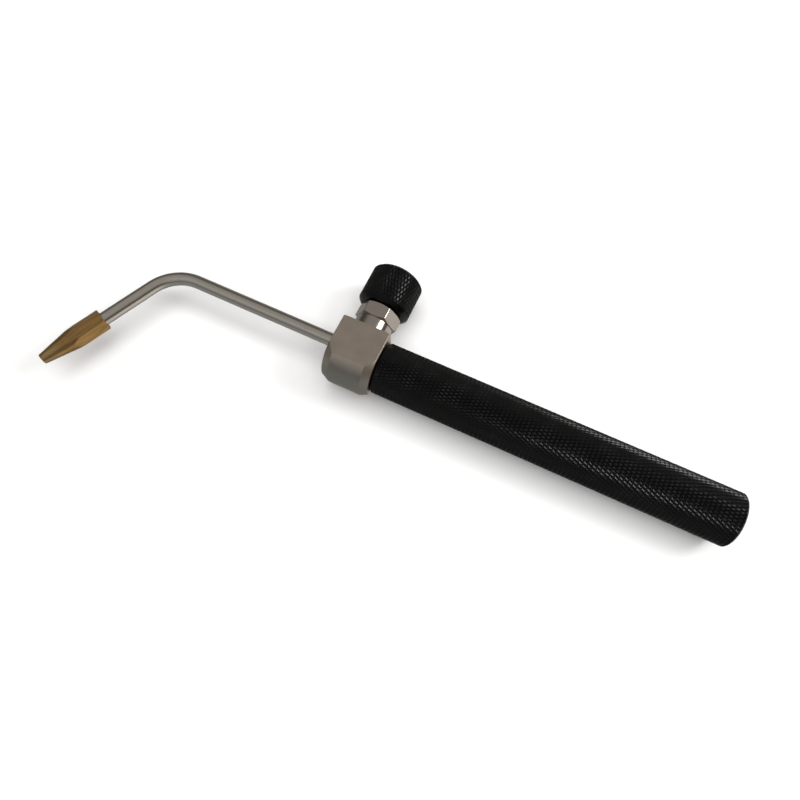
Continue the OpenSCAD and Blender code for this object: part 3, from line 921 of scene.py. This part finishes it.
class TORCH_OT_make_nozzle(bpy.types.Operator):
    """Make the brass flame nozzle"""

    bl_idname = "torch.make_nozzle"
    bl_label = "Flame nozzle"

    def execute(self, context):
        s = context.scene.torch_sizes
        total = s.nozzle_flats + s.nozzle_cone
        corner = s.nozzle_width / math.sqrt(3)
        bar = placed(hexagon(s.nozzle_width, 0, total, 0.16 * MM), Matrix.Rotation(s.nozzle_turn, 4, "Z"))
        lip, rear_chamfer = 0.12 * MM, 0.2 * MM
        cone = turned([
            (0, 0), (0, corner - rear_chamfer), (rear_chamfer, corner + 0.01 * MM),
            (s.nozzle_flats, corner + 0.01 * MM), (total - lip, s.nozzle_front + lip * 0.12),
            (total, s.nozzle_front - lip), (total, 0)], 144)
        bm = combined(bar, cone, "INTERSECT")
        rounded_edges(bm, 0.06 * MM, least=12)
        # The tube ends at the seat, and the bore narrows from its throat to the orifice
        seat, throat, taper = 8.5 * MM, 1.5 * MM, 8 * MM
        bm = bored(bm, [
            rod(s.tube_radius + TUBE_FIT, -PAST, seat),
            turned([(seat - 0.1 * MM, 0), (seat - 0.1 * MM, throat), (seat + taper, s.orifice),
                    (seat + taper, 0)], 48),
            rod(s.orifice, seat + taper - 1 * MM, total + PAST, 48),
            turned([(total - 0.35 * MM, 0), (total - 0.35 * MM, s.orifice - 0.02 * MM),
                    (total + 0.2 * MM, s.orifice + 0.40 * MM), (total + 0.2 * MM, 0)], 48),
        ])
        corner_point = Vector((-s.neck_reach, s.neck_offset, AXIS_Z))
        heading = math.pi + s.bend_angle
        towards = Vector((math.cos(heading), math.sin(heading), 0))
        matrix = (
            Matrix.Translation(corner_point + towards * s.nozzle_start)
            @ Matrix.Rotation(heading, 4, "Z") @ Matrix.Rotation(math.radians(90), 4, "Y"))
        placed(bm, matrix)
        start = (corner_point + towards * s.nozzle_start).dot(towards)
        brass = aged_brass((0, 0, -heading), start, towards)
        piece("flame_nozzle", bm, brass, nodes=["nozzle"], least=24, weighted=True)
        return {"FINISHED"}


class TORCH_OT_make_barb(bpy.types.Operator):
    """Make the hose barb that is set back in the open rear of the handle"""

    bl_idname = "torch.make_barb"
    bl_label = "Hose barb"

    def execute(self, context):
        low, high = BARB_LOW.x, BARB_HIGH.x
        flange = low + 6 * MM
        flange_end = flange + 3 * MM
        root, ridge, pitch, thread, bore = 3.1 * MM, 3.7 * MM, 5 * MM, 5.45 * MM, 1.8 * MM
        profile = [(low, 0), (low, 5.2 * MM), (low + 0.25 * MM, thread), (flange + 0.5 * MM, thread),
                   (flange + 0.5 * MM, root), (flange_end + 1.0 * MM, root)]
        for i in range(4):
            crest = flange_end + i * pitch + 1.5 * MM
            profile += [
                (crest, root), (crest + 0.05 * MM, ridge - 0.12 * MM), (crest + 0.22 * MM, ridge - 0.02 * MM),
                (crest + 3.1 * MM, root - 0.15 * MM)]
        profile += [(high - 0.25 * MM, root - 0.28 * MM), (high, root - 0.5 * MM), (high, 0)]
        stem = turned(profile, 72)
        width = 11 * MM
        corner = width / math.sqrt(3)
        bar = hexagon(width, flange, flange_end, 0.2 * MM)
        cone = turned([
            (flange, 0), (flange, width * 0.49), (flange + 0.5 * MM, corner + 0.01 * MM),
            (flange_end - 0.5 * MM, corner + 0.01 * MM), (flange_end, width * 0.49), (flange_end, 0)], 96)
        head = rounded_edges(combined(bar, cone, "INTERSECT"), 0.07 * MM, least=20)
        bm = combined(stem, head, "UNION")
        bm = bored(bm, [rod(bore, low - PAST, high + PAST, 48)])
        placed(bm, ON_HANDLE)
        brass = turned_metal("turned_brass_barb", tuple(colours().clean_brass), (1, 0, 0))
        piece("hose_barb_turned", bm, brass, nodes=["hose_barb"], least=24, weighted=True)
        return {"FINISHED"}


class TORCH_OT_finish_hidden(bpy.types.Operator):
    """Give the CAD pieces that keep their shape their finishes"""

    bl_idname = "torch.finish_hidden"
    bl_label = "Inner pieces"

    def execute(self, context):
        c = context.scene.torch_colours
        brass = turned_metal("turned_brass", tuple(c.clean_brass), (1, 0, 0))
        steel = turned_metal("turned_steel", tuple(c.steel), (0, 1, 0), roughness=0.16)
        tube = turned_metal("inner_tube_steel", tuple(c.steel), (1, 0, 0), roughness=0.20)
        rubber = moulded("rubber", tuple(c.rubber), 0.45, 2400, 0.01 * MM)
        seal = moulded("soft_seal", tuple(c.seal), 0.35, 1500, 0.005 * MM)
        fibre = moulded("fibre", tuple(c.fibre), 0.65, 3000, 0.02 * MM)
        for nodes, material, slot in (
                (("handle_adapter", "arrestor_housing"), brass, "brass_inner"),
                (("valve_stem",), steel, "stem"),
                (("gas_tube",), tube, "gas_tube"),
                (("stem_o_ring", "gas_tube_o_rings"), rubber, "rubber_seal"),
                (("nozzle_seal", "valve_seat", "stem_backup_ring"), seal, "soft_seal"),
                (("bonnet_washer", "adapter_washer", "arrestor_washer"), fibre, "fibre_washer"),
                (("flame_arrestor",), sintered_bronze(), "sintered"),
                (("knob_grub_screw", "sleeve_screws"), blackened_steel(), "screw")):
            for node in nodes:
                coat(node, material)
        return {"FINISHED"}


class TORCH_OT_make_stage(bpy.types.Operator):
    """Make the floor, the lights and the camera"""

    bl_idname = "torch.make_stage"
    bl_label = "Stage"

    def execute(self, context):
        self.floor()
        self.room()
        target = Vector((25 * MM, 0, AXIS_Z))
        self.lamp("window", target, (0.68, 0.39, 0.62), distance=0.70, size=0.26, power=2.1)
        self.lamp("ceiling", target, (0.0, 0.0, 1.0), distance=1.6, size=2.4, power=33.0, mirrored=False)
        self.camera(context.scene)
        context.scene.view_settings.view_transform = "Standard"
        return {"FINISHED"}

    @staticmethod
    def floor():
        bm = bmesh.new()
        bmesh.ops.create_circle(bm, cap_ends=True, segments=96, radius=4.0)
        bmesh.ops.translate(bm, vec=(0, 0, CAD_LOW.z), verts=bm.verts)
        mesh = bpy.data.meshes.new("floor")
        bm.to_mesh(mesh)
        bm.free()
        mesh.materials.append(floor_paint())
        obj = linked("floor", mesh)
        # The metal mirrors the dim room and not the bright table
        obj.visible_glossy = False

    @staticmethod
    def room():
        """A dim room: grey overhead and darker towards the walls."""
        world = bpy.data.worlds.new("room")
        bpy.context.scene.world = world
        world.use_nodes = True
        tree = Tree(world.node_tree)
        direction = tree.node("ShaderNodeTexCoord", output="Generated")

        def towards(way):
            return tree.node(
                "ShaderNodeVectorMath", {"operation": "DOT_PRODUCT"}, {0: direction, 1: way}, output="Value")

        up = towards((0, 0, 1))
        near = towards((-0.4, -0.9, 0)).between(0.15, 0.80)
        table = 0.20 + towards((0.95, 0.30, 0)).between(0.0, 0.8, 0.0, 0.45)
        glow = up.between(0.38, 0.88, 0.09, 0.34) + up.between(-0.15, 0.45) * near * 0.16
        glow = glow + up.between(-0.12, 0.10, 1.0, 0.0) * table
        tint = tree.mix(near, (1.0, 0.96, 0.92), (0.97, 0.99, 1.0))
        tinted = tree.node("ShaderNodeVectorMath", {"operation": "SCALE"}, {0: tint, "Scale": glow})
        seen = tree.node("ShaderNodeBackground", {}, {"Color": (0.90, 0.90, 0.895, 1), "Strength": 1.0})
        light = tree.node("ShaderNodeBackground", {}, {"Color": tinted, "Strength": 1.0})
        eye = tree.node("ShaderNodeLightPath", output="Is Camera Ray")
        both = tree.node("ShaderNodeMixShader", {}, {0: eye, 1: light, 2: seen})
        tree.show("ShaderNodeOutputWorld", both)

    @staticmethod
    def lamp(name, target, direction, distance, size, power, mirrored=True):
        """A soft square lamp that faces the torch."""
        light = bpy.data.lights.new(name, "AREA")
        light.shape = "RECTANGLE"
        light.size = light.size_y = size
        light.energy = power
        obj = linked(name, light)
        away = Vector(direction).normalized()
        obj.location = target + away * distance
        obj.rotation_euler = away.to_track_quat("Z", "Y").to_euler()
        obj.visible_glossy = mirrored
        obj.visible_camera = False

    @staticmethod
    def camera(scene):
        """A camera close above the torch, looking down at the handle from the front."""
        azimuth, elevation, roll = (math.radians(x) for x in (26.115, 70.219, -1.031))
        target = Vector((22.025 * MM, -8.628 * MM, AXIS_Z))
        distance = 220.646 * MM
        back = Vector((
            math.sin(azimuth) * math.cos(elevation), -math.cos(azimuth) * math.cos(elevation),
            math.sin(elevation)))
        data = bpy.data.cameras.new("camera")
        data.lens = 27.0
        data.sensor_width = 36.0
        data.clip_start = 0.01
        obj = linked("camera", data)
        obj.matrix_world = (
            Matrix.Translation(target + back * distance)
            @ back.to_track_quat("Z", "Y").to_matrix().to_4x4() @ Matrix.Rotation(roll, 4, "Z"))
        scene.camera = obj


OPERATORS = (
    TORCH_OT_make_handle,
    TORCH_OT_make_knob,
    TORCH_OT_make_block,
    TORCH_OT_make_bonnet,
    TORCH_OT_make_neck,
    TORCH_OT_make_nozzle,
    TORCH_OT_make_barb,
    TORCH_OT_finish_hidden,
    TORCH_OT_make_stage,
)


class TORCH_PT_panel(bpy.types.Panel):
    """Lists the torch's pieces, sizes and colours"""

    bl_idname = "TORCH_PT_panel"
    bl_label = "Lampwork torch"
    bl_space_type = "VIEW_3D"
    bl_region_type = "UI"
    bl_category = "Torch"

    def draw(self, context):
        column = self.layout.column(align=True)
        for operator in OPERATORS:
            column.operator(operator.bl_idname)
        scene = context.scene
        for heading, group in (("Sizes", scene.torch_sizes), ("Colours", scene.torch_colours)):
            box = self.layout.box()
            box.label(text=heading)
            for name in group.__annotations__:
                box.prop(group, name)


CLASSES = (TorchSizes, TorchColours, *OPERATORS, TORCH_PT_panel)


def register():
    for cls in CLASSES:
        bpy.utils.register_class(cls)
    bpy.types.Scene.torch_sizes = PointerProperty(type=TorchSizes)
    bpy.types.Scene.torch_colours = PointerProperty(type=TorchColours)


def unregister():
    del bpy.types.Scene.torch_colours
    del bpy.types.Scene.torch_sizes
    for cls in reversed(CLASSES):
        bpy.utils.unregister_class(cls)


def main():
    register()
    bpy.ops.torch.make_handle()
    bpy.ops.torch.make_knob()
    bpy.ops.torch.make_block()
    bpy.ops.torch.make_bonnet()
    bpy.ops.torch.make_neck()
    bpy.ops.torch.make_nozzle()
    bpy.ops.torch.make_barb()
    bpy.ops.torch.finish_hidden()
    bpy.ops.torch.make_stage()


if __name__ == "__main__":
    main()
